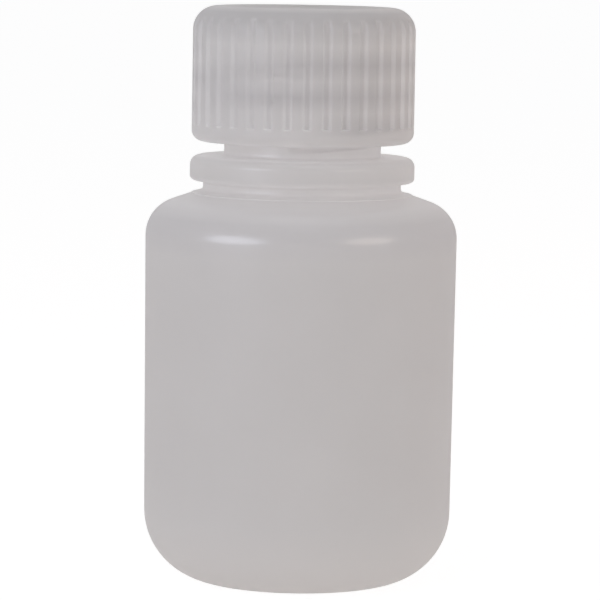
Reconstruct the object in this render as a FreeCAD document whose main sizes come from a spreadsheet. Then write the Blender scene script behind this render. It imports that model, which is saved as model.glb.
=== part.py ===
import FreeCAD, Part
import math
import os
import re
import Sketcher

# A narrow-mouth reagent bottle with a fluted screw cap and a sealing liner, in millimetres.
# +Z is up and the origin is the middle of the foot. The cap is drawn screwed down on its liner.
# Each outline is drawn as radius against height and turned about the bottle's axis.

DRIVING_SIZES = [
    ("body_diameter", 34.0, "outside of the body, just under the shoulder"),
    ("body_draft", 0.22, "how much the body's radius shrinks on the way down to the heel"),
    ("heel_round", 7.9, "rounding between the body and the foot"),
    ("foot_width", 1.3, "width of the flat ring that the bottle stands on"),
    ("push_up", 0.8, "height of the shallow dome inside the foot ring"),
    ("wall", 1.1, "thickness of the blown wall"),
    ("shoulder_height", 37.9, "height at which the body starts to turn into the shoulder"),
    ("shoulder_round", 4.1, "rounding between the body and the shoulder"),
    ("shoulder_slope", 19.4, "fall of the shoulder cone, in degrees"),
    ("groove_height", 0.99, "opening of the groove between the shoulder and the ring"),
    ("groove_depth", 1.45, "how far the groove's floor lies inside the ring"),
    ("ring_depth", 3.7, "how far the ring stands out from the neck"),
    ("ring_height", 2.7, "thickness of the ring"),
    ("ring_top_round", 1.0, "rounding of the ring's upper edge"),
    ("ring_base_round", 0.5, "rounding of the ring's lower edge"),
    ("neck_diameter", 17.1, "outside of the neck between the threads"),
    ("neck_wall", 1.55, "thickness of the neck"),
    ("neck_fillet", 0.4, "fillet where the neck stands on the ring"),
    ("finish_height", 13.77, "from the top of the ring to the rim"),
    ("rim_round", 0.4, "rounding of both edges of the rim"),
    ("bore_round", 1.5, "rounding where the bore opens into the body"),
    ("thread_heading", -90.0, "bearing of the lower ends of both threads, in degrees"),
    ("thread_pitch", 3.175, "rise of one turn, eight turns to the inch"),
    ("thread_depth", 1.3, "height of a thread over its wall"),
    ("thread_crest", 0.76, "width of a thread at its crest"),
    ("thread_gap", 0.3, "clearance between a crest and the wall that faces it"),
    ("thread_play", 0.35, "clearance along the axis between the flanks of the two threads"),
    ("thread_sink", 0.4, "how far a thread's section reaches into its wall"),
    ("thread_end", 0.1, "height that is left where a thread has run out"),
    ("thread_rise", 1.82, "from the top of the ring to the middle of the neck thread's lower end"),
    ("neck_thread_margin", 0.63, "from the neck thread's upper edge to the rim"),
    ("cap_thread_margin", 0.3, "from the cap thread's upper edge to the liner"),
    ("cap_gap", 1.55, "from the top of the ring to the cap's foot"),
    ("cap_wall", 1.52, "thickness of the cap's skirt at the floor of a flute"),
    ("cap_plate", 1.5, "thickness of the cap's top"),
    ("cap_top_round", 2.6, "rounding of the cap's upper edge"),
    ("cap_foot_round", 1.2, "rounding of the cap's lower edge"),
    ("ceiling_round", 0.3, "fillet between the cap's ceiling and its skirt"),
    ("lead_in", 0.3, "chamfer inside the cap's mouth"),
    ("band_height", 1.87, "plain band below the ribs"),
    ("rib_count", 36, "number of grip ribs round the cap"),
    ("rib_height", 0.45, "depth of the flutes between the ribs"),
    ("flute_width", 1.06, "width of a flute at the outside"),
    ("flute_floor", 0.75, "width of a flute at its floor"),
    ("flute_turn", 2.1, "bearing of the first flute from the cap's own X axis, in degrees"),
    ("liner_gap", 0.35, "clearance between the sealing disc and the cap's skirt"),
    ("liner_thickness", 1.0, "sealing disc, as squeezed between the rim and the ceiling"),
]

DERIVED_SIZES = [
    ("body_radius", "body_diameter / 2"),
    ("heel_radius", "body_radius - body_draft"),
    ("foot_radius", "heel_radius - heel_round"),
    ("foot_inside", "foot_radius - foot_width"),
    ("dome_round", "(foot_inside ^ 2 + push_up ^ 2) / (2 * push_up)"),
    ("neck_radius", "neck_diameter / 2"),
    ("ring_radius", "neck_radius + ring_depth"),
    ("groove_radius", "ring_radius - groove_depth"),
    ("bore_radius", "neck_radius - neck_wall"),
    ("cone_radius", "body_radius - shoulder_round * (1 - sin(shoulder_slope))"),
    ("cone_height", "shoulder_height + shoulder_round * cos(shoulder_slope)"),
    ("groove_base", "cone_height + (cone_radius - groove_radius) * tan(shoulder_slope)"),
    ("ring_base", "groove_base + groove_height"),
    ("ring_top", "ring_base + ring_height"),
    ("rim", "ring_top + finish_height"),
    ("bore_corner", "cone_height + (cone_radius - bore_radius) * tan(shoulder_slope)"
                    " - wall / cos(shoulder_slope)"),
    ("bore_run", "bore_round * tan((90 - shoulder_slope) / 2)"),
    ("inner_shoulder", "shoulder_round - wall"),
    ("inner_cone_radius", "body_radius - shoulder_round + inner_shoulder * sin(shoulder_slope)"),
    ("inner_cone_height", "shoulder_height + inner_shoulder * cos(shoulder_slope)"),
    # two equal threads half a pitch apart, with the stated play between their flanks
    ("thread_lap", "(thread_depth + thread_gap) / (2 * thread_depth)"),
    ("thread_root", "(thread_pitch / 2 - thread_play - thread_crest * thread_lap) / (1 - thread_lap)"),
    ("thread_flank", "(thread_root - thread_crest) / (2 * thread_depth)"),
    ("thread_foot", "thread_root / 2 + thread_sink * thread_flank"),
    ("neck_crest", "neck_radius + thread_depth"),
    ("neck_thread_start", "ring_top + thread_rise"),
    ("neck_thread_stop", "rim - neck_thread_margin - thread_root / 2"),
    ("neck_thread_turns", "(neck_thread_stop - neck_thread_start) / thread_pitch"),
    ("cap_base", "ring_top + cap_gap"),
    ("cap_height", "rim + liner_thickness + cap_plate - cap_base"),
    ("ceiling", "cap_height - cap_plate"),
    ("cap_bore", "neck_crest + thread_gap"),
    ("cap_radius", "cap_bore + cap_wall + rib_height"),
    ("cap_crest", "neck_radius + thread_gap"),
    ("cap_thread_start", "neck_thread_start + thread_pitch / 2 - cap_base"),
    ("cap_thread_stop", "rim - cap_base - cap_thread_margin - thread_root / 2"),
    ("cap_thread_turns", "(cap_thread_stop - cap_thread_start) / thread_pitch"),
    ("cap_runout_round", "cap_bore / 2"),
]

doc = FreeCAD.newDocument("reagent_bottle")
sheet = doc.addObject("Spreadsheet::Sheet", "dims")
ALIASES = {size[0] for size in DRIVING_SIZES + DERIVED_SIZES}
UP = FreeCAD.Vector(0, 0, 1)
UNIT_TURN = FreeCAD.Rotation(UP, 1)


def fill_sheet():
    """Write the driving sizes as plain numbers and the derived ones as formulas, each with its alias."""
    row = 0
    for alias, value, meaning in DRIVING_SIZES:
        row += 1
        sheet.set(f"A{row}", meaning)
        sheet.set(f"B{row}", str(value))
        sheet.setAlias(f"B{row}", alias)
    for alias, formula in DERIVED_SIZES:
        row += 1
        sheet.set(f"A{row}", formula)
        sheet.set(f"B{row}", f"={formula}")
        sheet.setAlias(f"B{row}", alias)
    doc.recompute()


def cells(formula):
    """The same formula with every size named as a cell of the sheet."""
    return re.sub(r"[a-z_]+", lambda word: f"dims.{word[0]}" if word[0] in ALIASES else word[0], formula)


def bind(item, path, formula):
    item.setExpression(path, cells(formula))


def value_of(formula):
    return float(sheet.evalExpression(cells(formula)))


def origin_item(body, role):
    return next(item for item in body.Origin.OriginFeatures if item.Role == role)


def new_sketch(body, name, plane, height="0", bearing="0"):
    """A sketch on one of the body's own planes, lifted along its normal and turned about it."""
    sketch = body.newObject("Sketcher::SketchObject", name)
    sketch.AttachmentSupport = (origin_item(body, plane), [""])
    sketch.MapMode = "FlatFace"
    # a rotation keeps the axis it is given first, and its angle is bound after
    sketch.AttachmentOffset = FreeCAD.Placement(FreeCAD.Vector(), UNIT_TURN)
    bind(sketch, "AttachmentOffset.Rotation.Angle", bearing)
    bind(sketch, "AttachmentOffset.Base.z", height)
    return sketch


def hold(sketch, kind, geometry, formula):
    """Add one dimension to a sketch and bind it to the sheet."""
    index = sketch.addConstraint(Sketcher.Constraint(kind, *geometry, value_of(formula)))
    bind(sketch, f"Constraints[{index}]", formula)


def arc_through(start, end, radius, left):
    """The arc of less than half a turn from start to end that bends left or right on its way."""
    chord = end - start
    across = FreeCAD.Vector(-chord.y, chord.x, 0).normalize()
    rise = math.sqrt(radius ** 2 - (chord.Length / 2) ** 2)
    side = 1 if left else -1
    centre = (start + end) / 2 + across * side * rise
    middle = centre - across * side * radius
    return Part.Arc(start, middle, end)


def draw_outline(sketch, corners):
    """Draw a closed outline. A corner is (x, y), or (x, y, radius, bend) if an arc leads to the next."""
    points = [FreeCAD.Vector(value_of(corner[0]), value_of(corner[1]), 0) for corner in corners]
    starts = []
    ends = []
    for index, corner in enumerate(corners):
        start = points[index]
        end = points[(index + 1) % len(points)]
        if len(corner) == 2:
            edge = sketch.addGeometry(Part.LineSegment(start, end))
            left = True
        else:
            left = corner[3] == "left"
            edge = sketch.addGeometry(arc_through(start, end, value_of(corner[2]), left))
            hold(sketch, "Radius", (edge,), corner[2])
        # an arc is stored anticlockwise, so one that bends right starts at its second end
        starts.append((edge, 1 if left else 2))
        ends.append((edge, 2 if left else 1))
    for index, corner in enumerate(corners):
        sketch.addConstraint(Sketcher.Constraint("Coincident", *ends[index - 1], *starts[index]))
        hold(sketch, "DistanceX", (-1, 1, *starts[index]), corner[0])
        hold(sketch, "DistanceY", (-1, 1, *starts[index]), corner[1])
    doc.recompute()


def revolve(body, name, sketch):
    turned = body.newObject("PartDesign::Revolution", name)
    turned.Profile = sketch
    turned.ReferenceAxis = (sketch, ["V_Axis"])
    turned.Angle = 360
    doc.recompute()


def add_thread(body, name, root, crest, start, turns):
    """Wind a right-hand thread up from start. Its section sinks from root into the wall behind it."""
    sketch = new_sketch(body, f"{name}_section", "XZ_Plane")
    lower = f"{start} - thread_foot"
    upper = f"{start} + thread_foot"
    draw_outline(sketch, [
        (root, lower),
        (crest, f"{start} - thread_crest / 2"),
        (crest, f"{start} + thread_crest / 2"),
        (root, upper),
    ])
    thread = body.newObject("PartDesign::AdditiveHelix", name)
    thread.Profile = sketch
    thread.ReferenceAxis = (sketch, ["V_Axis"])
    thread.Mode = "pitch-turns-angle"
    bind(thread, "Pitch", "thread_pitch")
    bind(thread, "Turns", turns)
    doc.recompute()


def cut_up(body, name, sketch, length):
    """Cut a sketch upwards from its plane, and make sure that it takes something away."""
    before = body.Shape.Volume
    cut = body.newObject("PartDesign::Pocket", name)
    cut.Profile = sketch
    cut.Reversed = True
    bind(cut, "Length", length)
    doc.recompute()
    if not body.Shape.Volume < before:
        raise RuntimeError(f"{name} cuts nothing")
    return cut


def run_out_neck_thread(body, name, middle, bearing):
    """Plane a thread's end down to the neck, along a flat that almost touches the neck's wall."""
    sketch = new_sketch(body, f"{name}_section", "XY_Plane", f"{middle} - thread_pitch / 2", bearing)
    near = "neck_radius + thread_end"
    far = "neck_crest + thread_gap"
    draw_outline(sketch, [
        (near, "-neck_crest"),
        (far, "-neck_crest"),
        (far, "neck_crest"),
        (near, "neck_crest"),
    ])
    cut_up(body, name, sketch, "thread_pitch")


def run_out_cap_thread(body, name, middle, bearing):
    """Bore a thread's end away with a round cut that almost touches the cap's inner wall."""
    sketch = new_sketch(body, f"{name}_section", "XY_Plane", f"{middle} - thread_pitch / 2", bearing)
    reach = "cap_bore - thread_end - cap_runout_round"
    centre = FreeCAD.Vector(value_of(reach), 0, 0)
    circle = sketch.addGeometry(Part.Circle(centre, UP, value_of("cap_runout_round")))
    hold(sketch, "Radius", (circle,), "cap_runout_round")
    hold(sketch, "DistanceX", (-1, 1, circle, 3), reach)
    sketch.addConstraint(Sketcher.Constraint("PointOnObject", circle, 3, -1))
    cut_up(body, name, sketch, "thread_pitch")


def new_body(name, height):
    """A body at its height on the axis, turned so that its thread starts at the thread's bearing."""
    body = doc.addObject("PartDesign::Body", name)
    body.Placement.Rotation = UNIT_TURN
    bind(body, "Placement.Rotation.Angle", "thread_heading")
    bind(body, "Placement.Base.z", height)
    return body


def make_bottle():
    """The blown bottle: foot, body, shoulder, groove, ring, neck and bore in one wall, then the thread."""
    body = new_body("bottle", "0")
    sketch = new_sketch(body, "bottle_outline", "XZ_Plane")
    draw_outline(sketch, [
        # the underside of the dome, the foot ring, the heel and the body
        ("0", "push_up", "dome_round", "right"),
        ("foot_inside", "0"),
        ("foot_radius", "0", "heel_round", "left"),
        ("heel_radius", "heel_round"),
        # the shoulder and its cone, up to the groove
        ("body_radius", "shoulder_height", "shoulder_round", "left"),
        ("cone_radius", "cone_height"),
        ("groove_radius", "groove_base"),
        # the ring
        ("groove_radius", "ring_base"),
        ("ring_radius - ring_base_round", "ring_base", "ring_base_round", "left"),
        ("ring_radius", "ring_base + ring_base_round"),
        ("ring_radius", "ring_top - ring_top_round", "ring_top_round", "left"),
        ("ring_radius - ring_top_round", "ring_top"),
        # the neck and its rim
        ("neck_radius + neck_fillet", "ring_top", "neck_fillet", "right"),
        ("neck_radius", "ring_top + neck_fillet"),
        ("neck_radius", "rim - rim_round", "rim_round", "left"),
        ("neck_radius - rim_round", "rim"),
        ("bore_radius + rim_round", "rim", "rim_round", "left"),
        # the bore, then the inside of the shoulder, the body and the foot
        ("bore_radius", "rim - rim_round"),
        ("bore_radius", "bore_corner + bore_run", "bore_round", "left"),
        ("bore_radius + bore_run * cos(shoulder_slope)", "bore_corner - bore_run * sin(shoulder_slope)"),
        ("inner_cone_radius", "inner_cone_height", "inner_shoulder", "right"),
        ("body_radius - wall", "shoulder_height"),
        ("heel_radius - wall", "heel_round", "heel_round - wall", "right"),
        ("foot_radius", "wall"),
        ("foot_inside", "wall", "dome_round", "left"),
        ("0", "push_up + wall"),
    ])
    revolve(body, "bottle_wall", sketch)
    add_thread(body, "neck_thread", "neck_radius - thread_sink", "neck_crest", "neck_thread_start",
               "neck_thread_turns")
    run_out_neck_thread(body, "neck_thread_lower_end", "neck_thread_start", "0")
    run_out_neck_thread(body, "neck_thread_upper_end", "neck_thread_stop", "neck_thread_turns * 360")
    return body


def make_cap():
    """The moulded cap: a thick-topped shell, flutes that leave the grip ribs, and the inside thread."""
    body = new_body("cap", "cap_base")
    sketch = new_sketch(body, "cap_outline", "XZ_Plane")
    draw_outline(sketch, [
        ("cap_bore + lead_in", "0"),
        ("cap_radius - cap_foot_round", "0", "cap_foot_round", "left"),
        ("cap_radius", "cap_foot_round"),
        ("cap_radius", "cap_height - cap_top_round", "cap_top_round", "left"),
        ("cap_radius - cap_top_round", "cap_height"),
        ("0", "cap_height"),
        ("0", "ceiling"),
        ("cap_bore - ceiling_round", "ceiling", "ceiling_round", "right"),
        ("cap_bore", "ceiling - ceiling_round"),
        ("cap_bore", "lead_in"),
    ])
    revolve(body, "cap_shell", sketch)

    flute_sketch = new_sketch(body, "flute_section", "XY_Plane", "band_height", "flute_turn")
    floor = "cap_radius - rib_height"
    outside = "cap_radius + rib_height"
    # the flute's sides lean out as they rise, and run on past the outside by the depth of the flute
    half_mouth = "flute_width - flute_floor / 2"
    draw_outline(flute_sketch, [
        (floor, "-flute_floor / 2"),
        (outside, f"-({half_mouth})"),
        (outside, half_mouth),
        (floor, "flute_floor / 2"),
    ])
    flute = cut_up(body, "flute", flute_sketch, "cap_height")

    flutes = body.newObject("PartDesign::PolarPattern", "flutes")
    flutes.Originals = [flute]
    flutes.Axis = (origin_item(body, "Z_Axis"), [""])
    flutes.Angle = 360
    bind(flutes, "Occurrences", "rib_count")
    body.Tip = flutes
    doc.recompute()

    add_thread(body, "cap_thread", "cap_bore + thread_sink", "cap_crest", "cap_thread_start",
               "cap_thread_turns")
    run_out_cap_thread(body, "cap_thread_lower_end", "cap_thread_start", "0")
    run_out_cap_thread(body, "cap_thread_upper_end", "cap_thread_stop", "cap_thread_turns * 360")
    return body


def make_liner():
    """The sealing disc, flat on the rim and flat under the cap's ceiling."""
    disc = doc.addObject("Part::Cylinder", "cap_liner")
    bind(disc, "Radius", "cap_bore - liner_gap")
    bind(disc, "Height", "liner_thickness")
    bind(disc, "Placement.Base.z", "rim")
    return disc


fill_sheet()
pieces = {"bottle": make_bottle(), "cap": make_cap(), "cap_liner": make_liner()}
for node, piece in pieces.items():
    piece.Label = node
doc.recompute()

for item in doc.Objects:
    if "Invalid" in item.State or "Error" in item.State:
        raise RuntimeError(f"{item.Label} did not build")
for piece in pieces.values():
    if piece.Shape.isNull() or not piece.Shape.isValid() or len(piece.Shape.Solids) != 1:
        raise RuntimeError(f"{piece.Label} is not one sound solid")

os.makedirs("parts", exist_ok=True)
for piece in pieces.values():
    piece.Shape.exportStep(f"parts/{piece.Label}.step")
    box = piece.Shape.optimalBoundingBox()
    print(f"{piece.Label}: {piece.Shape.Volume / 1000:.2f} cm3, {box.XLength:.2f} mm across, "
          f"from {box.ZMin:.2f} to {box.ZMax:.2f} mm high")
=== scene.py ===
# %% [markdown]
# # A milky reagent bottle with a ribbed screw cap
# The bottle is blown from low-density polyethylene and the cap is moulded from polypropylene. Both
# plastics scatter light inside their walls, so they look milky and a little grey, and the thread under
# the cap shows through it as faint bands. This lesson builds the three pieces as closed shells with
# real walls, because only a real wall lets the light in and out the way the plastic does.

# %% Load the frame
import math

import bpy
from mathutils import Matrix, Vector


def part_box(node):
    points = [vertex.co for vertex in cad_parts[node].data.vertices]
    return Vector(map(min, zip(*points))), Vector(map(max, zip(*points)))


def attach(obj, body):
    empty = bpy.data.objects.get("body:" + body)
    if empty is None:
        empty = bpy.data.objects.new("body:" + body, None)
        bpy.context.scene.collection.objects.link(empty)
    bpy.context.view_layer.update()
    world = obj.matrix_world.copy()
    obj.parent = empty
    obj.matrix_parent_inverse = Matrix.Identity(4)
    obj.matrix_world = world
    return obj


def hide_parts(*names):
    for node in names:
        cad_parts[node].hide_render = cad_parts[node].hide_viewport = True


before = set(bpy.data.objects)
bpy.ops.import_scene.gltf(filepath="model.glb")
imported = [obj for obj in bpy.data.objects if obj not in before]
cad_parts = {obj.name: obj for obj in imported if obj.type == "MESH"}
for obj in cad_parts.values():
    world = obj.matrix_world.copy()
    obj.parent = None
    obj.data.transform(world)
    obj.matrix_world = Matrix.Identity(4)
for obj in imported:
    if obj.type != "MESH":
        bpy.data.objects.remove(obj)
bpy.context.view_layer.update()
MM = 0.001
print("nodes in the frame:", sorted(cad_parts))

# %% [markdown]
# ## The camera
# The photograph looks slightly down on the bottle from about half a metre: the cap's top is seen almost
# edge-on, while the heel's curve opens a little. The bottle also leans by about a degree in the picture,
# so the camera is rolled by that angle. A long lens keeps the sides parallel.

# %% Place the camera
PICTURE_WIDTH = 600
PIXELS_PER_MM = 9.1775
CAMERA_DISTANCE = 450 * MM
CAMERA_HEIGHT = 73.5 * MM
AIM = Vector((-0.01 * MM, 0, 30.9 * MM))
CAMERA_ROLL = math.radians(0.92)

camera_data = bpy.data.cameras.new("Camera")
camera = bpy.data.objects.new("Camera", camera_data)
bpy.context.scene.collection.objects.link(camera)
camera_data.sensor_width = 36
camera_data.lens = camera_data.sensor_width * PIXELS_PER_MM * CAMERA_DISTANCE / MM / PICTURE_WIDTH
camera_data.clip_start = 10 * MM
camera_data.clip_end = 30
camera_place = Vector((0, -CAMERA_DISTANCE, CAMERA_HEIGHT))
facing = (AIM - camera_place).to_track_quat("-Z", "Y").to_matrix().to_4x4()
camera.matrix_world = Matrix.Translation(camera_place) @ facing @ Matrix.Rotation(CAMERA_ROLL, 4, "Z")
bpy.context.scene.camera = camera
print(f"camera with a lens of {camera_data.lens:.0f} mm, {CAMERA_DISTANCE:.2f} m from the axis")

# %% [markdown]
# ## Small helpers
# One function adds a node to any tree, for materials and for geometry alike. It sets the node's own
# properties, then fills its inputs: a plain value is written on the socket, and a node or a socket is
# linked to it. Another function turns a colour written as an sRGB hex value into the linear numbers
# that Blender works with, and a third one starts a material with an empty tree.

# %% Helpers for nodes and colours
def add(tree, kind, settings=None, inputs=None):
    """Add one node, with its settings, and its inputs given by name or number."""
    node = tree.nodes.new(kind)
    for name, value in (settings or {}).items():
        setattr(node, name, value)
    for key, value in (inputs or {}).items():
        if isinstance(value, bpy.types.Node):
            value = value.outputs[0]
        if isinstance(value, bpy.types.NodeSocket):
            tree.links.new(value, node.inputs[key])
        else:
            node.inputs[key].default_value = value
    return node


def linear(hex_colour):
    """Turn an sRGB colour such as #BBB8B6 into linear red, green, blue and a full alpha."""
    channels = [int(hex_colour[place:place + 2], 16) / 255 for place in (1, 3, 5)]
    curve = [c / 12.92 if c <= 0.04045 else ((c + 0.055) / 1.055) ** 2.4 for c in channels]
    return (*curve, 1.0)


def new_material(name):
    """A material with an empty node tree, and that tree."""
    material = bpy.data.materials.new(name)
    material.use_nodes = True
    material.node_tree.nodes.clear()
    return material, material.node_tree


print("white is", linear("#FFFFFF"))

# %% [markdown]
# ## Sizes
# The overall sizes come from the frame, so that the pieces here land exactly where the solids are. The
# roundings and walls between them are real sizes in millimetres. The shoulder's slope and the ring's
# draft are in degrees.

# %% Read the sizes of the bottle
_, bottle_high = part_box("bottle")
cap_low, cap_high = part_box("cap")
liner_low, liner_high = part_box("cap_liner")

BODY_RADIUS = bottle_high.x
RIM = bottle_high.z
HEEL_RADIUS = BODY_RADIUS - 0.22 * MM
HEEL_ROUND = 7.9 * MM
FOOT_RADIUS = HEEL_RADIUS - HEEL_ROUND
FOOT_INSIDE = FOOT_RADIUS - 1.3 * MM
PUSH_UP = 0.8 * MM
DOME_ROUND = (FOOT_INSIDE ** 2 + PUSH_UP ** 2) / (2 * PUSH_UP)
WALL = 1.1 * MM
SHOULDER_HEIGHT = 37.9 * MM
SHOULDER_ROUND = 4.1 * MM
SLOPE = 19.4
NECK_RADIUS = 8.55 * MM
NECK_FILLET = 0.4 * MM
BORE_RADIUS = NECK_RADIUS - 1.55 * MM
BORE_ROUND = 1.5 * MM
RIM_ROUND = 0.4 * MM
RING_RADIUS = NECK_RADIUS + 3.7 * MM
RING_TOP = RIM - 13.77 * MM
RING_BASE = RING_TOP - 2.7 * MM
RING_TOP_ROUND = 1.0 * MM
RING_BASE_ROUND = 0.5 * MM
RING_DRAFT = 12
RING_SHELF = 0.1 * MM
RING_EDGE_ROUND = 0.15 * MM
GROOVE_RADIUS = RING_RADIUS - 1.45 * MM
GROOVE_FILLET = 0.4 * MM
PARTING_RADIUS = RING_RADIUS - 0.2 * MM
PARTING_WIDTH = 0.35 * MM
PARTING_STEP = 0.08 * MM
PARTING_LEAN = 0.02 * MM
PARTING_CLEAR = 0.05 * MM
print(f"body {2 * BODY_RADIUS / MM:.1f} mm across, rim {RIM / MM:.2f} mm high, "
      f"top of the cap {cap_high.z / MM:.2f} mm high")

# %% [markdown]
# ## The bottle's outline
# A bottle is round, so its wall is one outline of radius against height, turned about the axis. This one
# runs from the middle of the floor up the inside, over the rim and down the outside to the middle of the
# foot, which makes the shell closed with a true thickness. Each stretch is a straight run or an arc, and
# is divided only as finely as its shape needs: the neck is fine because the thread will rise out of it.

# %% Helpers for outlines, and the shoulder's cone
def run(start, end, steps=1):
    """Points on a straight stretch of an outline, without its end."""
    start = Vector(start)
    return [start.lerp(Vector(end), step / steps) for step in range(steps)]


def arc(centre, radius, first, last, steps):
    """Points on an arc between two angles in degrees, without its end."""
    angles = [math.radians(first + (last - first) * step / steps) for step in range(steps)]
    return [Vector(centre) + radius * Vector((math.cos(angle), math.sin(angle))) for angle in angles]


TILT = math.radians(SLOPE)
STEEP = 90 - SLOPE
SHOULDER_CENTRE = Vector((BODY_RADIUS - SHOULDER_ROUND, SHOULDER_HEIGHT))
OFF_CONE = Vector((math.sin(TILT), math.cos(TILT)))
CONE_EDGE = SHOULDER_CENTRE + SHOULDER_ROUND * OFF_CONE
DOME_EDGE = math.degrees(math.acos(FOOT_INSIDE / DOME_ROUND))


def on_cone(radius):
    """The point of the shoulder's cone at a radius."""
    return Vector((radius, CONE_EDGE.y + (CONE_EDGE.x - radius) * math.tan(TILT)))


GROOVE_BASE = on_cone(GROOVE_RADIUS).y
print(f"the shoulder's cone starts at {CONE_EDGE.y / MM:.2f} mm and the groove at "
      f"{GROOVE_BASE / MM:.2f} mm")

# %% Draw the inside, the rim and the neck
def bottle_inside():
    """From the middle of the floor up the inside of the body and the shoulder to the top of the bore."""
    inner_round = SHOULDER_ROUND - WALL
    bore_corner = on_cone(BORE_RADIUS).y - WALL / math.cos(TILT)
    bore_foot = bore_corner + BORE_ROUND * math.tan(math.radians(STEEP / 2))
    bore_centre = Vector((BORE_RADIUS + BORE_ROUND, bore_foot))
    return (
        arc((0, PUSH_UP + WALL - DOME_ROUND), DOME_ROUND, 90, DOME_EDGE, 8)
        + run((FOOT_INSIDE, WALL), (FOOT_RADIUS, WALL), 2)
        + arc((FOOT_RADIUS, HEEL_ROUND), HEEL_ROUND - WALL, -90, 0, 16)
        + run((HEEL_RADIUS - WALL, HEEL_ROUND), (BODY_RADIUS - WALL, SHOULDER_HEIGHT), 6)
        + arc(SHOULDER_CENTRE, inner_round, 0, STEEP, 10)
        + run(SHOULDER_CENTRE + inner_round * OFF_CONE, bore_centre - BORE_ROUND * OFF_CONE, 3)
        + arc(bore_centre, BORE_ROUND, 270 - SLOPE, 180, 8)
        + run((BORE_RADIUS, bore_foot), (BORE_RADIUS, RIM - RIM_ROUND), 6)
    )


def rim_and_neck():
    """Over the rim and down the neck, in fine steps because the thread will rise out of it."""
    thread_rings = 100
    return (
        arc((BORE_RADIUS + RIM_ROUND, RIM - RIM_ROUND), RIM_ROUND, 180, 90, 6)
        + run((BORE_RADIUS + RIM_ROUND, RIM), (NECK_RADIUS - RIM_ROUND, RIM), 2)
        + arc((NECK_RADIUS - RIM_ROUND, RIM - RIM_ROUND), RIM_ROUND, 90, 0, 6)
        + run((NECK_RADIUS, RIM - RIM_ROUND), (NECK_RADIUS, RING_TOP + NECK_FILLET), thread_rings)
        + arc((NECK_RADIUS + NECK_FILLET, RING_TOP + NECK_FILLET), NECK_FILLET, 180, 270, 5)
    )


print(f"inside of {len(bottle_inside())} points, rim and neck of {len(rim_and_neck())}")

# %% Draw the ring, the groove and the outside
def ring_and_groove():
    """Over the ring, whose upper side is drafted down to a fine edge, and under it into the groove."""
    draft = math.radians(RING_DRAFT)
    shelf_top = RING_TOP - RING_TOP_ROUND * (1 - math.sin(draft))
    shelf_foot = shelf_top - RING_SHELF
    side_top = shelf_foot - RING_EDGE_ROUND * math.sin(draft)
    shelf_radius = RING_RADIUS - RING_EDGE_ROUND * (1 - math.cos(draft))
    shelf_inside = shelf_radius - RING_SHELF * math.tan(draft)
    corner = shelf_inside - RING_TOP_ROUND * math.cos(draft)
    groove_centre = GROOVE_RADIUS + GROOVE_FILLET
    groove_foot = GROOVE_BASE + GROOVE_FILLET * (1 - math.sin(TILT)) / math.cos(TILT)
    return (
        run((NECK_RADIUS + NECK_FILLET, RING_TOP), (corner, RING_TOP), 3)
        + arc((corner, RING_TOP - RING_TOP_ROUND), RING_TOP_ROUND, 90, RING_DRAFT, 9)
        + run((shelf_inside, shelf_top), (shelf_radius, shelf_foot), 3)
        + arc((RING_RADIUS - RING_EDGE_ROUND, side_top), RING_EDGE_ROUND, RING_DRAFT, 0, 3)
        + run((RING_RADIUS, side_top), (RING_RADIUS, RING_BASE + RING_BASE_ROUND), 5)
        + arc((RING_RADIUS - RING_BASE_ROUND, RING_BASE + RING_BASE_ROUND), RING_BASE_ROUND, 0, -90, 7)
        + run((RING_RADIUS - RING_BASE_ROUND, RING_BASE), (groove_centre, RING_BASE), 2)
        + arc((groove_centre, RING_BASE - GROOVE_FILLET), GROOVE_FILLET, 90, 180, 7)
        + run((GROOVE_RADIUS, RING_BASE - GROOVE_FILLET), (GROOVE_RADIUS, groove_foot), 2)
        + arc((groove_centre, groove_foot), GROOVE_FILLET, 180, 270 - SLOPE, 7)
        + [Vector((groove_centre, groove_foot)) - GROOVE_FILLET * OFF_CONE]
    )


def bottle_outside():
    """Down the shoulder, over the line where the mould parted, and down to the middle of the foot."""
    line_foot = on_cone(PARTING_RADIUS)
    line_edge = line_foot + Vector((-PARTING_LEAN, PARTING_STEP))
    past_line = on_cone(PARTING_RADIUS + PARTING_CLEAR)
    return (
        run(on_cone(PARTING_RADIUS - PARTING_WIDTH), line_edge, 4)
        + run(line_edge, line_foot, 4)
        + run(line_foot, past_line)
        + run(past_line, CONE_EDGE, 5)
        + arc(SHOULDER_CENTRE, SHOULDER_ROUND, STEEP, 0, 20)
        + run((BODY_RADIUS, SHOULDER_HEIGHT), (HEEL_RADIUS, HEEL_ROUND), 16)
        + arc((FOOT_RADIUS, HEEL_ROUND), HEEL_ROUND, 0, -90, 28)
        + run((FOOT_RADIUS, 0), (FOOT_INSIDE, 0), 3)
        + arc((0, PUSH_UP - DOME_ROUND), DOME_ROUND, DOME_EDGE, 90, 24)
        + [Vector((0, PUSH_UP))]
    )


bottle_outline = bottle_inside() + rim_and_neck() + ring_and_groove() + bottle_outside()
print(f"bottle outline of {len(bottle_outline)} points")

# %% [markdown]
# ## A thread as a rule
# A screw thread is a rule more than a shape: at every bearing round the neck it stands a little higher,
# one pitch for each turn. Modelling it as a rope wound round the neck would leave a seam where the two
# meet, and light inside milky plastic would show that seam. So a Geometry Nodes group lifts the wall
# itself. For each point it works out how far the nearest turn is, above or below, and moves the point in
# or out by the thread's section at that distance. Both ends of the thread fade into the wall.

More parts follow.
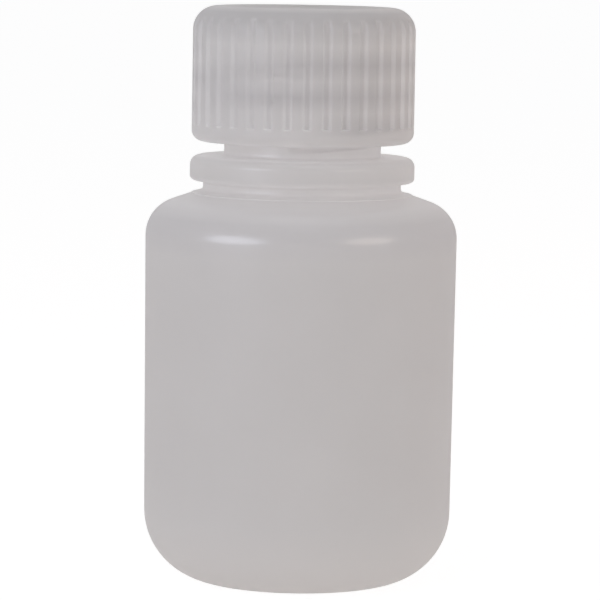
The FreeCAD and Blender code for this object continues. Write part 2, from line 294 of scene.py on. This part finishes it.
# %% Build the group that raises a thread
def new_tree(name, sockets):
    """A geometry tree with a mesh in and out, and named inputs given as (name, kind)."""
    tree = bpy.data.node_groups.new(name, "GeometryNodeTree")
    tree.interface.new_socket(name="Mesh", in_out="INPUT", socket_type="NodeSocketGeometry")
    for label, kind in sockets:
        tree.interface.new_socket(name=label, in_out="INPUT", socket_type=kind)
    tree.interface.new_socket(name="Mesh", in_out="OUTPUT", socket_type="NodeSocketGeometry")
    return tree, tree.nodes.new("NodeGroupInput").outputs


MATH = "ShaderNodeMath"
WALL_MARGIN = 0.02 * MM
THREAD_SOCKETS = [(label, "NodeSocketFloat") for label in (
    "Wall radius", "Thread height", "Crest width", "Root width", "Pitch", "Start", "Stop", "Heading",
    "Run-out")]


def build_thread_group():
    """The tree that marks where the thread stands and lifts the points of the wall by its section."""
    tree, size = new_tree("Raise_thread", THREAD_SOCKETS)
    place = add(tree, "ShaderNodeSeparateXYZ", inputs={0: add(tree, "GeometryNodeInputPosition")})
    x, y, z = place.outputs
    flat = add(tree, "ShaderNodeCombineXYZ", inputs={0: x, 1: y})
    radius = add(tree, "ShaderNodeVectorMath", {"operation": "LENGTH"}, {0: flat}).outputs["Value"]
    outwards = add(tree, "ShaderNodeVectorMath", {"operation": "NORMALIZE"}, {0: flat})

    # the turn of the thread nearest to each point, counted from the thread's start
    bearing = add(tree, MATH, {"operation": "ARCTAN2"}, {0: y, 1: x})
    from_start = add(tree, MATH, {"operation": "SUBTRACT"}, {0: bearing, 1: size["Heading"]})
    once_round = add(tree, MATH, {"operation": "WRAP"}, {0: from_start, 1: math.tau, 2: 0.0})
    part_turn = add(tree, MATH, {"operation": "DIVIDE"}, {0: once_round, 1: math.tau})
    above_start = add(tree, MATH, {"operation": "SUBTRACT"}, {0: z, 1: size["Start"]})
    turns_up = add(tree, MATH, {"operation": "DIVIDE"}, {0: above_start, 1: size["Pitch"]})
    offset = add(tree, MATH, {"operation": "SUBTRACT"}, {0: turns_up, 1: part_turn})
    nearest = add(tree, MATH, {"operation": "ROUND"}, {0: offset})
    along = add(tree, MATH, {"operation": "ADD"}, {0: nearest, 1: part_turn})

    # the thread's section: how much of its height stands at this distance from the turn's middle
    aside = add(tree, MATH, {"operation": "SUBTRACT"}, {0: offset, 1: nearest})
    aside = add(tree, MATH, {"operation": "ABSOLUTE"}, {0: aside})
    distance = add(tree, MATH, {"operation": "MULTIPLY"}, {0: aside, 1: size["Pitch"]})
    half_root = add(tree, MATH, {"operation": "MULTIPLY"}, {0: size["Root width"], 1: 0.5})
    half_crest = add(tree, MATH, {"operation": "MULTIPLY"}, {0: size["Crest width"], 1: 0.5})
    smooth = {"interpolation_type": "SMOOTHSTEP", "clamp": True}
    section = add(tree, "ShaderNodeMapRange", smooth, {0: distance, 1: half_root, 2: half_crest})

    # both ends fade into the wall
    length = add(tree, MATH, {"operation": "SUBTRACT"}, {0: size["Stop"], 1: size["Start"]})
    turns = add(tree, MATH, {"operation": "DIVIDE"}, {0: length, 1: size["Pitch"]})
    to_end = add(tree, MATH, {"operation": "SUBTRACT"}, {0: turns, 1: along})
    fade_in = add(tree, "ShaderNodeMapRange", smooth, {0: along, 1: 0.0, 2: size["Run-out"]})
    fade_out = add(tree, "ShaderNodeMapRange", smooth, {0: to_end, 1: 0.0, 2: size["Run-out"]})
    fade = add(tree, MATH, {"operation": "MULTIPLY"}, {0: fade_in, 1: fade_out})
    share = add(tree, MATH, {"operation": "MULTIPLY"}, {0: section, 1: fade})

    # every point learns how much thread stands at its bearing and height, and the wall's points move
    marked = add(tree, "GeometryNodeStoreNamedAttribute", {"data_type": "FLOAT", "domain": "POINT"},
                 {"Geometry": size["Mesh"], "Name": "thread_share", "Value": share})
    lift = add(tree, MATH, {"operation": "MULTIPLY"}, {0: share, 1: size["Thread height"]})
    shift = add(tree, "ShaderNodeVectorMath", {"operation": "SCALE"}, {0: outwards, "Scale": lift})
    near_wall = add(tree, MATH, {"operation": "COMPARE"},
                    {0: radius, 1: size["Wall radius"], 2: WALL_MARGIN})
    raised = add(tree, "GeometryNodeSetPosition",
                 inputs={"Geometry": marked, "Selection": near_wall, "Offset": shift})
    add(tree, "NodeGroupOutput", inputs={0: raised})
    return tree


thread_group = build_thread_group()
print(f"thread group of {len(thread_group.nodes)} nodes")

# %% [markdown]
# ## Milky polyethylene
# Low-density polyethylene as blown: a soft, waxy, milky plastic. It hardly absorbs light, but it
# scatters it, so the wall passes a soft glow from every side and shows no hard shading, even in the gap
# under the cap. Subsurface scattering would stop at the second wall and leave the inside dark. A
# Translucent shader hands the glow on through every wall, and a Principled shader adds what is seen
# dimly through the wall and the satin gloss. Tints by height paint light and shade into the colour: the
# foot, the groove and above all the neck's own foot, which stands on the ring, are painted whiter than
# the body to lift the shade there, and the rounding of the shoulder is painted greyer, as painted shade.

# %% Paint light and shade on the bottle by height
SHOULDER_SHADE_FADE = 1.6 * MM
CONE_FADE = 1.6 * MM
EDGE_FADE = 0.5 * MM
NECK_FOOT = 1.5 * MM
# painted light and shade: whiter at the foot, the groove and the neck's foot, greyer on the shoulder's
# rounding
# each zone has the height where it starts, the height where it is full, and its colour
BOTTLE_PAINTED_SHADING = (
    (HEEL_ROUND, 0.0, "#EFEDEC"),
    (SHOULDER_HEIGHT - SHOULDER_SHADE_FADE, SHOULDER_HEIGHT + SHOULDER_SHADE_FADE / 2, "#E4E3E4"),
    (CONE_EDGE.y - CONE_FADE, CONE_EDGE.y, "#F3F2F2"),
    (GROOVE_BASE - EDGE_FADE, GROOVE_BASE, "#F6F5F5"),
    (RING_BASE, RING_BASE + EDGE_FADE, "#EBEAEA"),
    (RING_TOP - EDGE_FADE / 2, RING_TOP + EDGE_FADE / 2, "#FCFBFB"),
    (RING_TOP + NECK_FOOT, RING_TOP + 2 * NECK_FOOT, "#F8F7F7"),
)


def paint_shading_by_height(tree, place, colour, zones):
    """Paint light and shade into a colour by zones of height, each taking over from the one before it.
    """
    height = add(tree, "ShaderNodeSeparateXYZ", inputs={0: place}).outputs["Z"]
    for start, full, tint in zones:
        inside = add(tree, "ShaderNodeMapRange", inputs={0: height, 1: start, 2: full}).outputs[0]
        colour = add(tree, "ShaderNodeMix", {"data_type": "RGBA"},
                     {0: inside, 6: colour, 7: linear(tint)}).outputs[2]
    return colour


print(f"{len(BOTTLE_PAINTED_SHADING)} zones of tint on the bottle")

# %% Make the bottle's plastic
BOTTLE_GLOW = 0.7


def milky_polyethylene():
    """Blown polyethylene: whitish, waxy and softly glowing, with a satin skin."""
    material, tree = new_material("Polyethylene_milky_blown")
    place = add(tree, "ShaderNodeTexCoord").outputs["Object"]

    # slow cloudiness from uneven wall thickness, about 9 mm across
    cloud = add(tree, "ShaderNodeTexNoise",
                inputs={"Vector": place, "Scale": 1 / (9 * MM), "Detail": 2.0})
    cloudy = add(tree, "ShaderNodeMix", {"data_type": "RGBA"},
                 {0: cloud, 6: linear("#E8E7E7"), 7: linear("#ECEBEB")}).outputs[2]
    # painted light and shade: the foot, groove and neck's foot painted whiter, the shoulder's rounding
    # greyer
    # whiter and greyer zones, matched to the photograph
    colour = paint_shading_by_height(tree, place, cloudy, BOTTLE_PAINTED_SHADING)
    # orange-peel about 0.7 mm across, and a finer haze in the gloss
    peel = add(tree, "ShaderNodeTexNoise",
               inputs={"Vector": place, "Scale": 1 / (0.7 * MM), "Detail": 2.0})
    haze = add(tree, "ShaderNodeTexNoise",
               inputs={"Vector": place, "Scale": 1 / (0.25 * MM), "Detail": 3.0})
    gloss = add(tree, "ShaderNodeMapRange", inputs={0: haze, 3: 0.34, 4: 0.44})
    bump = add(tree, "ShaderNodeBump", inputs={"Height": peel, "Strength": 0.05, "Distance": 0.05 * MM})
    skin = add(tree, "ShaderNodeBsdfPrincipled", inputs={
        "Base Color": colour, "Roughness": gloss.outputs[0], "Normal": bump, "IOR": 1.51,
        "Transmission Weight": 0.4, "Specular IOR Level": 0.0, "Coat Weight": 0.52,
        "Coat Roughness": 0.22, "Coat IOR": 3.8})
    glow = add(tree, "ShaderNodeBsdfTranslucent", inputs={"Color": colour, "Normal": bump})
    wall = add(tree, "ShaderNodeMixShader", inputs={0: BOTTLE_GLOW, 1: skin, 2: glow})
    add(tree, "ShaderNodeOutputMaterial", inputs={"Surface": wall})
    return material


polyethylene = milky_polyethylene()
print("made", polyethylene.name)

# %% [markdown]
# ## Turning the bottle
# The outline goes into Geometry Nodes as a line. Sweeping it round a tiny circle turns it into the
# shell, the doubled points on the axis are merged, and the thread group raises the neck's thread. The
# tree's result is then made a plain mesh, so that nothing live is left on the piece.

# %% Build the tree that turns an outline
SPINDLE_RADIUS = 0.001 * MM
AXIS_MERGE = 0.005 * MM


def build_turning_tree():
    """The tree that turns a line about the axis, closes the shell and raises the thread."""
    sockets = THREAD_SOCKETS + [("Segments", "NodeSocketInt"), ("Material", "NodeSocketMaterial")]
    tree, size = new_tree("Turn_and_thread", sockets)
    spindle = add(tree, "GeometryNodeCurvePrimitiveCircle",
                  inputs={"Resolution": size["Segments"], "Radius": SPINDLE_RADIUS})
    line = add(tree, "GeometryNodeMeshToCurve", inputs={0: size["Mesh"]})
    shell = add(tree, "GeometryNodeCurveToMesh", inputs={"Curve": spindle, "Profile Curve": line})
    closed = add(tree, "GeometryNodeMergeByDistance", inputs={"Geometry": shell, "Distance": AXIS_MERGE})
    threaded = add(tree, "GeometryNodeGroup", {"node_tree": thread_group},
                   {"Mesh": closed, **{label: size[label] for label, _ in THREAD_SOCKETS}})
    solid = add(tree, "GeometryNodeRealizeInstances", inputs={0: threaded})
    smooth = add(tree, "GeometryNodeSetShadeSmooth", inputs={"Geometry": solid})
    finished = add(tree, "GeometryNodeSetMaterial",
                   inputs={"Geometry": smooth, "Material": size["Material"]})
    add(tree, "NodeGroupOutput", inputs={0: finished})
    return tree


turning_tree = build_turning_tree()
print(f"turning tree of {len(turning_tree.nodes)} nodes")

# %% Helpers that make a piece by nodes
def as_line(outline):
    """The points and edges of an outline, laid flat as the turning tree takes it."""
    verts = [(point.x, -point.y, 0) for point in outline]
    return verts, [(index, index + 1) for index in range(len(verts) - 1)]


def make_by_nodes(name, verts, edges, faces, tree, values):
    """Make an object from a start mesh and a geometry tree, and keep the result as a plain mesh."""
    start = bpy.data.meshes.new(name)
    start.from_pydata(verts, edges, faces)
    piece = bpy.data.objects.new(name, start)
    bpy.context.scene.collection.objects.link(piece)
    modifier = piece.modifiers.new("Build", "NODES")
    modifier.node_group = tree
    for item in tree.interface.items_tree:
        if item.in_out == "INPUT" and item.name in values:
            modifier[item.identifier] = values[item.name]
    graph = bpy.context.evaluated_depsgraph_get()
    result = bpy.data.meshes.new_from_object(piece.evaluated_get(graph))
    piece.modifiers.clear()
    piece.data = result
    result.name = name
    result.calc_loop_triangles()
    print(f"{name}: {len(result.vertices)} points, {len(result.loop_triangles)} triangles")
    return piece


bottle_verts, bottle_edges = as_line(bottle_outline)
print(f"the bottle's line has {len(bottle_edges)} edges")

# %% Turn the bottle and raise its thread
THREAD_PITCH = 3.175 * MM
THREAD_HEIGHT = 1.3 * MM
THREAD_CREST = 0.7 * MM
THREAD_ROOT = 2.1 * MM
THREAD_HEADING = math.radians(-90)
NECK_THREAD_START = RING_TOP + 1.82 * MM
NECK_THREAD_STOP = RIM - 1.63 * MM
# as shares of a turn: the neck's thread starts a little early and ends sharply
NECK_EARLY = 0.03
NECK_RUN_OUT = 0.028
BOTTLE_SEGMENTS = 288

bottle = make_by_nodes("milky_bottle", bottle_verts, bottle_edges, [], turning_tree, {
    "Wall radius": NECK_RADIUS, "Thread height": THREAD_HEIGHT, "Crest width": THREAD_CREST,
    "Root width": THREAD_ROOT, "Pitch": THREAD_PITCH,
    "Start": NECK_THREAD_START - NECK_EARLY * THREAD_PITCH, "Stop": NECK_THREAD_STOP,
    "Heading": THREAD_HEADING - NECK_EARLY * math.tau, "Run-out": NECK_RUN_OUT,
    "Segments": BOTTLE_SEGMENTS, "Material": polyethylene})
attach(bottle, "bottle")
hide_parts("bottle")

# %% [markdown]
# ## Moulded polypropylene
# The cap is stiffer than the bottle: polypropylene as injection moulded, with a smooth skin from a
# polished mould. Like the bottle it passes light softly. The thread inside is painted in as faint grey
# bands of shade where the wall is thicker, and the corner under the top is painted greyer as shade.
# On the flat top, painted pale again, the white liner shines through. The thread's own tree marks how
# much thread stands behind each point, and shade is painted by that mark and, towards the top, by
# height.

# %% Make the cap's plastic
CAP_TOP = cap_high.z
LINER_GAP = 0.06 * MM
CEILING = liner_high.z + LINER_GAP
CORNER_FADE = 2.4 * MM
PLATE_FADE = 0.5 * MM
CAP_GLOW = 0.6
# painted shade by height: the corner under the top greyer, the flat top pale again
CAP_PAINTED_SHADE = (
    (CEILING - CORNER_FADE, CEILING, "#DDDCDD"),
    (CAP_TOP - PLATE_FADE, CAP_TOP, "#F1F0F0"),
)


def moulded_polypropylene():
    """Moulded polypropylene: milky and a little clearer than the bottle, with a smooth satin skin."""
    material, tree = new_material("Polypropylene_moulded")
    place = add(tree, "ShaderNodeTexCoord").outputs["Object"]

    # flow marks about 4 mm wide, drawn out along the axis as the plastic would have run
    stretch = add(tree, "ShaderNodeMapping", inputs={"Vector": place, "Scale": (1, 1, 0.35)})
    flow = add(tree, "ShaderNodeTexNoise",
               inputs={"Vector": stretch, "Scale": 1 / (4 * MM), "Detail": 2.0})
    pale = add(tree, "ShaderNodeMix", {"data_type": "RGBA"},
               {0: flow, 6: linear("#F3F2F2"), 7: linear("#F7F6F6")})
    # painted shade where the wall is thicker: the thread behind the skirt, and the corner below the flat
    # top
    behind = add(tree, "ShaderNodeAttribute", {"attribute_name": "thread_share"})
    banded = add(tree, "ShaderNodeMix", {"data_type": "RGBA"},
                 {0: behind.outputs["Fac"], 6: pale.outputs[2], 7: linear("#EAE9EA")}).outputs[2]
    colour = paint_shading_by_height(tree, place, banded, CAP_PAINTED_SHADE)
    # a fine haze in the gloss, about 0.3 mm across
    haze = add(tree, "ShaderNodeTexNoise",
               inputs={"Vector": place, "Scale": 1 / (0.3 * MM), "Detail": 2.0})
    gloss = add(tree, "ShaderNodeMapRange", inputs={0: haze, 3: 0.29, 4: 0.35})
    bump = add(tree, "ShaderNodeBump", inputs={"Height": flow, "Strength": 0.05, "Distance": 0.05 * MM})
    skin = add(tree, "ShaderNodeBsdfPrincipled", inputs={
        "Base Color": colour, "Roughness": gloss.outputs[0], "Normal": bump, "IOR": 1.49,
        "Transmission Weight": 0.5, "Specular IOR Level": 0.0, "Coat Weight": 0.08,
        "Coat Roughness": 0.2, "Coat IOR": 3.8})
    glow = add(tree, "ShaderNodeBsdfTranslucent", inputs={"Color": colour, "Normal": bump})
    wall = add(tree, "ShaderNodeMixShader", inputs={0: CAP_GLOW, 1: skin, 2: glow})
    add(tree, "ShaderNodeOutputMaterial", inputs={"Surface": wall})
    return material


polypropylene = moulded_polypropylene()
print("made", polypropylene.name)

# %% [markdown]
# ## The ribbed cap
# The cap's grip is one rib repeated all the way round. So only one slice of the cap is modelled, from
# the middle of one flute to the middle of the next, with the rib between them. Geometry Nodes places the
# copies round the axis, merges their edges into one closed shell and raises the inside thread.

# %% Draw the cap's outline
CAP_RADIUS = cap_high.x
CAP_FOOT = cap_low.z
CAP_TOP_ROUND = 2.6 * MM
CAP_FOOT_ROUND = 1.2 * MM
THREAD_CLEARANCE = 0.3 * MM
CAP_BORE = NECK_RADIUS + THREAD_HEIGHT + THREAD_CLEARANCE
CEILING_ROUND = 0.3 * MM
CEILING_MIDDLE = 2 * MM
LEAD_IN = 0.3 * MM
BAND_TOP = CAP_FOOT + 1.87 * MM
# fine rings round the band's top carry the step where the flutes start
RINGS_FOOT = BAND_TOP - 0.06 * MM
RINGS_TOP = BAND_TOP + 0.1 * MM
GATE_RADIUS = 1.0 * MM
GATE_SLOPE = 0.3 * MM
GATE_DEPTH = 0.25 * MM


def draw_cap_outline():
    """From the middle of the ceiling down the inside, round the foot, up the outside and to the gate."""
    thread_rings = 84
    top_edge = CAP_TOP - CAP_TOP_ROUND
    gate_floor = CAP_TOP - GATE_DEPTH
    return (
        [Vector((0, CEILING))]
        + run((CEILING_MIDDLE, CEILING), (CAP_BORE - CEILING_ROUND, CEILING), 3)
        + arc((CAP_BORE - CEILING_ROUND, CEILING - CEILING_ROUND), CEILING_ROUND, 90, 0, 4)
        + run((CAP_BORE, CEILING - CEILING_ROUND), (CAP_BORE, CAP_FOOT + LEAD_IN), thread_rings)
        + run((CAP_BORE, CAP_FOOT + LEAD_IN), (CAP_BORE + LEAD_IN, CAP_FOOT), 2)
        + run((CAP_BORE + LEAD_IN, CAP_FOOT), (CAP_RADIUS - CAP_FOOT_ROUND, CAP_FOOT), 2)
        + arc((CAP_RADIUS - CAP_FOOT_ROUND, CAP_FOOT + CAP_FOOT_ROUND), CAP_FOOT_ROUND, -90, 0, 10)
        + run((CAP_RADIUS, CAP_FOOT + CAP_FOOT_ROUND), (CAP_RADIUS, RINGS_FOOT), 2)
        + run((CAP_RADIUS, RINGS_FOOT), (CAP_RADIUS, RINGS_TOP), 4)
        + run((CAP_RADIUS, RINGS_TOP), (CAP_RADIUS, top_edge), 6)
        + arc((CAP_RADIUS - CAP_TOP_ROUND, top_edge), CAP_TOP_ROUND, 0, 90, 22)
        + run((CAP_RADIUS - CAP_TOP_ROUND, CAP_TOP), (GATE_RADIUS + GATE_SLOPE, CAP_TOP), 5)
        + run((GATE_RADIUS + GATE_SLOPE, CAP_TOP), (GATE_RADIUS, gate_floor), 3)
        + run((GATE_RADIUS, gate_floor), (0, gate_floor), 3)
        + [Vector((0, gate_floor))]
    )


cap_outline = draw_cap_outline()
print(f"cap outline of {len(cap_outline)} points")

# %% Make one slice of the cap
RIBS = 36
RIB_HEADING = math.radians(-2.9)
FLUTE_FLOOR = CAP_RADIUS - 0.45 * MM
CREST_EDGE = math.radians(2.4)
FLOOR_EDGE = math.radians(4.1)
# a flute reaches its full depth over this height, and this share of it lies below the band's top
STEP_HEIGHT = 0.1 * MM
STEP_SHARE = 0.4


def ease(value):
    """A smooth step from 0 to 1."""
    value = min(max(value, 0), 1)
    return value * value * (3 - 2 * value)


def cap_slice(outline):
    """The points and faces of one slice: the outline at each of a few bearings across one rib."""
    half = math.pi / RIBS
    steps = [0, 0.5 * CREST_EDGE, 0.85 * CREST_EDGE, CREST_EDGE]
    steps += [CREST_EDGE + (FLOOR_EDGE - CREST_EDGE) * part for part in (0.25, 0.5, 0.75, 1)]
    bearings = [-half] + [-angle for angle in reversed(steps[1:])] + steps + [half]
    verts = []
    for point in outline:
        step = ease((point.y - BAND_TOP) / STEP_HEIGHT + STEP_SHARE)
        flute_depth = max(0, point.x - FLUTE_FLOOR) * step
        for bearing in bearings:
            in_flute = ease((abs(bearing) - CREST_EDGE) / (FLOOR_EDGE - CREST_EDGE))
            radius = point.x - flute_depth * in_flute
            angle = bearing + RIB_HEADING
            verts.append((radius * math.cos(angle), radius * math.sin(angle), point.y))
    across = len(bearings)
    faces = []
    for ring in range(len(outline) - 1):
        for column in range(across - 1):
            low = ring * across + column
            high = low + across
            faces.append((low, low + 1, high + 1, high))
    return verts, faces


slice_verts, slice_faces = cap_slice(cap_outline)
print(f"one slice of the cap: {len(slice_faces)} faces")

# %% [markdown]
# ## Repeating the slice
# One point for each rib carries a copy of the slice, turned to its own bearing. The copies are made real
# before their edges are merged, because merging works on points that exist, and a closed shell is what
# the thread group and the light inside the plastic need.

# %% Repeat the slice round the cap and raise its thread
CAP_THREAD_START = NECK_THREAD_START + THREAD_PITCH / 2
CAP_THREAD_STOP = liner_low.z - 1.3 * MM
CAP_RUN_OUT = 0.09
SEAM_MERGE = 0.003 * MM


def build_ribbing_tree():
    """The tree that repeats a slice round the axis, closes the shell and raises the thread."""
    sockets = THREAD_SOCKETS + [("Ribs", "NodeSocketInt"), ("Material", "NodeSocketMaterial")]
    tree, size = new_tree("Repeat_rib_and_thread", sockets)
    spots = add(tree, "GeometryNodePoints", inputs={"Count": size["Ribs"]})
    number = add(tree, "GeometryNodeInputIndex")
    step = add(tree, MATH, {"operation": "DIVIDE"}, {0: math.tau, 1: size["Ribs"]})
    angle = add(tree, MATH, {"operation": "MULTIPLY"}, {0: number, 1: step})
    turn = add(tree, "ShaderNodeCombineXYZ", inputs={2: angle})
    copies = add(tree, "GeometryNodeInstanceOnPoints",
                 inputs={"Points": spots, "Instance": size["Mesh"], "Rotation": turn})
    solid = add(tree, "GeometryNodeRealizeInstances", inputs={0: copies})
    closed = add(tree, "GeometryNodeMergeByDistance", inputs={"Geometry": solid, "Distance": SEAM_MERGE})
    threaded = add(tree, "GeometryNodeGroup", {"node_tree": thread_group},
                   {"Mesh": closed, **{label: size[label] for label, _ in THREAD_SOCKETS}})
    smooth = add(tree, "GeometryNodeSetShadeSmooth", inputs={"Geometry": threaded})
    finished = add(tree, "GeometryNodeSetMaterial",
                   inputs={"Geometry": smooth, "Material": size["Material"]})
    add(tree, "NodeGroupOutput", inputs={0: finished})
    return tree


cap = make_by_nodes("ribbed_cap", slice_verts, [], slice_faces, build_ribbing_tree(), {
    "Wall radius": CAP_BORE, "Thread height": -THREAD_HEIGHT, "Crest width": THREAD_CREST,
    "Root width": THREAD_ROOT, "Pitch": THREAD_PITCH, "Start": CAP_THREAD_START,
    "Stop": CAP_THREAD_STOP, "Heading": THREAD_HEADING, "Run-out": CAP_RUN_OUT, "Ribs": RIBS,
    "Material": polypropylene})
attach(cap, "cap")
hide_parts("cap")

# %% [markdown]
# ## The liner
# The seal is a disc punched from white foam sheet. It is seen only when the cap is off, from below. Its
# edge is cut square with a slight pillow, and its face keeps the ring that the rim has pressed into it.
# The tree that turned the bottle turns it too, with no thread.

# %% Make the liner's foam
def foamed_liner():
    """Foamed sheet: matt and white, with fine closed cells."""
    material, tree = new_material("Polyethylene_foam_sheet")
    place = add(tree, "ShaderNodeTexCoord").outputs["Object"]

    # closed cells about 0.25 mm across
    cells = add(tree, "ShaderNodeTexVoronoi", inputs={"Vector": place, "Scale": 1 / (0.25 * MM)})
    hollow = cells.outputs["Distance"]
    colour = add(tree, "ShaderNodeMix", {"data_type": "RGBA"},
                 {0: hollow, 6: linear("#F1F0ED"), 7: linear("#E6E5E1")})
    bump = add(tree, "ShaderNodeBump", inputs={"Height": hollow, "Strength": 0.2, "Distance": 0.05 * MM})
    rough = add(tree, "ShaderNodeMapRange", inputs={0: hollow, 3: 0.6, 4: 0.75})
    foam = add(tree, "ShaderNodeBsdfPrincipled", inputs={
        "Base Color": colour.outputs[2], "Roughness": rough.outputs[0], "Normal": bump, "IOR": 1.5})
    add(tree, "ShaderNodeOutputMaterial", inputs={"Surface": foam})
    return material


foam = foamed_liner()
print("made", foam.name)

# %% Turn the liner
LINER_EDGE = 0.15 * MM
PRESS_DEPTH = 0.06 * MM
# the pressed ring starts outside the rim's edges and is at its full depth a little inside them
PRESS_OUTSIDE = 0.2 * MM
PRESS_INSIDE = 0.3 * MM
LINER_SEGMENTS = 144
# no point lies at this radius, so the thread group leaves the disc as it is
NO_THREAD_RADIUS = 1.0


def draw_liner_outline():
    """From the middle of the lower face out to the edge, and back over the upper face."""
    radius = liner_high.x
    low = liner_low.z
    high = liner_high.z
    pressed = low + PRESS_DEPTH
    return (
        run((0, low), (BORE_RADIUS - PRESS_OUTSIDE, low), 4)
        + run((BORE_RADIUS - PRESS_OUTSIDE, low), (BORE_RADIUS + PRESS_INSIDE, pressed), 3)
        + run((BORE_RADIUS + PRESS_INSIDE, pressed), (NECK_RADIUS - PRESS_INSIDE, pressed), 3)
        + run((NECK_RADIUS - PRESS_INSIDE, pressed), (NECK_RADIUS + PRESS_OUTSIDE, low), 3)
        + run((NECK_RADIUS + PRESS_OUTSIDE, low), (radius - LINER_EDGE, low), 2)
        + arc((radius - LINER_EDGE, low + LINER_EDGE), LINER_EDGE, -90, 0, 4)
        + run((radius, low + LINER_EDGE), (radius, high - LINER_EDGE), 3)
        + arc((radius - LINER_EDGE, high - LINER_EDGE), LINER_EDGE, 0, 90, 4)
        + run((radius - LINER_EDGE, high), (0, high), 6)
        + [Vector((0, high))]
    )


# turned round, the outline runs down its outer edge as the bottle's does, so its faces look outwards
liner_verts, liner_edges = as_line(reversed(draw_liner_outline()))
liner = make_by_nodes("sealing_liner", liner_verts, liner_edges, [], turning_tree, {
    "Wall radius": NO_THREAD_RADIUS, "Pitch": THREAD_PITCH, "Segments": LINER_SEGMENTS,
    "Material": foam})
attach(liner, "liner")
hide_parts("cap_liner")

# %% [markdown]
# ## Floor, light and background
# The photograph is a cut-out on white, lit by two soft boxes in front of the bottle, left and right:
# each leaves one soft glint on the shoulder. A warm lamp further round the right side tints that edge,
# and is kept out of reflections, because the photograph has no third glint. A lamp overhead opens the
# shade under the cap. The floor looks white to the camera, yet keeps part of its real shading, so the
# bottle still has its shadow where it stands.

# %% Lay the floor
FLOOR_HALF = 4.0
FLOOR_LEVEL = -0.02 * MM
FLOOR_GLOW = 0.85


def white_for_the_camera(tree, lit, background):
    """Show the background to the camera and in reflections, and the lit shader to all other light."""
    path = add(tree, "ShaderNodeLightPath")
    seen = add(tree, MATH, {"operation": "ADD", "use_clamp": True},
               {0: path.outputs["Is Camera Ray"], 1: path.outputs["Is Glossy Ray"]})
    seen = add(tree, MATH, {"operation": "ADD", "use_clamp": True},
               {0: seen, 1: path.outputs["Is Transmission Ray"]})
    return add(tree, "ShaderNodeMixShader", inputs={0: seen, 1: lit, 2: background})


def pale_floor():
    """White card, which the camera sees as an even glow and a share of its real shading."""
    material, tree = new_material("Floor_white_card")
    card = add(tree, "ShaderNodeBsdfDiffuse", inputs={"Color": linear("#F3EADF")})
    glow = add(tree, "ShaderNodeEmission", inputs={"Color": linear("#FFFFFF"), "Strength": FLOOR_GLOW})
    shade = add(tree, "ShaderNodeBsdfDiffuse", inputs={"Color": linear("#959595")})
    shaded_glow = add(tree, "ShaderNodeAddShader", inputs={0: glow, 1: shade})
    surface = white_for_the_camera(tree, card, shaded_glow)
    add(tree, "ShaderNodeOutputMaterial", inputs={"Surface": surface})
    return material


floor_mesh = bpy.data.meshes.new("floor")
corners = [(side * FLOOR_HALF, depth * FLOOR_HALF, FLOOR_LEVEL)
           for side, depth in ((-1, -1), (1, -1), (1, 1), (-1, 1))]
floor_mesh.from_pydata(corners, [], [(0, 1, 2, 3)])
floor = bpy.data.objects.new("floor", floor_mesh)
floor.data.materials.append(pale_floor())
bpy.context.scene.collection.objects.link(floor)
print(f"floor of {2 * FLOOR_HALF:.0f} m by {2 * FLOOR_HALF:.0f} m")

# %% Set the world
ROOM_LIGHT = 0.48
BACKGROUND = 1.0

world = bpy.data.worlds.new("Studio")
bpy.context.scene.world = world
world.use_nodes = True
sky = world.node_tree
sky.nodes.clear()
room = add(sky, "ShaderNodeBackground", inputs={"Color": linear("#F4F4F6"), "Strength": ROOM_LIGHT})
white = add(sky, "ShaderNodeBackground", inputs={"Color": linear("#FFFFFF"), "Strength": BACKGROUND})
add(sky, "ShaderNodeOutputWorld", inputs={"Surface": white_for_the_camera(sky, room, white)})
bpy.context.scene.view_settings.view_transform = "Standard"
print("the room gives light at", ROOM_LIGHT, "and is seen at", BACKGROUND)

# %% Set the lamps
def soft_box(name, bearing, elevation, distance, width, height, watts, colour):
    """A soft box that faces the shoulder from a bearing (0 is the camera's side) and an elevation."""
    data = bpy.data.lights.new(name, "AREA")
    data.shape = "ELLIPSE"
    data.size = width
    data.size_y = height
    data.energy = watts
    data.color = linear(colour)[:3]
    lamp = bpy.data.objects.new(name, data)
    bpy.context.scene.collection.objects.link(lamp)
    target = Vector((0, 0, SHOULDER_HEIGHT))
    across = math.radians(bearing)
    up = math.radians(elevation)
    away = Vector((math.sin(across) * math.cos(up), -math.cos(across) * math.cos(up), math.sin(up)))
    lamp.location = target + distance * away
    lamp.rotation_euler = (-away).to_track_quat("-Z", "Y").to_euler()
    return lamp


soft_box("Left_soft_box", bearing=-50, elevation=12, distance=0.4, width=0.34, height=0.15,
         watts=0.45, colour="#ECF1FF")
soft_box("Right_soft_box", bearing=52, elevation=15, distance=0.4, width=0.29, height=0.12,
         watts=0.2, colour="#FFF0E2")
warm_lamp = soft_box("Right_side_warm", bearing=112, elevation=15, distance=0.7, width=0.4, height=0.4,
                     watts=0.34, colour="#FF9A5A")
warm_lamp.visible_glossy = False
soft_box("Overhead_soft_box", bearing=-10, elevation=75, distance=0.7, width=0.6, height=0.6,
         watts=0.3, colour="#FFFFFF")
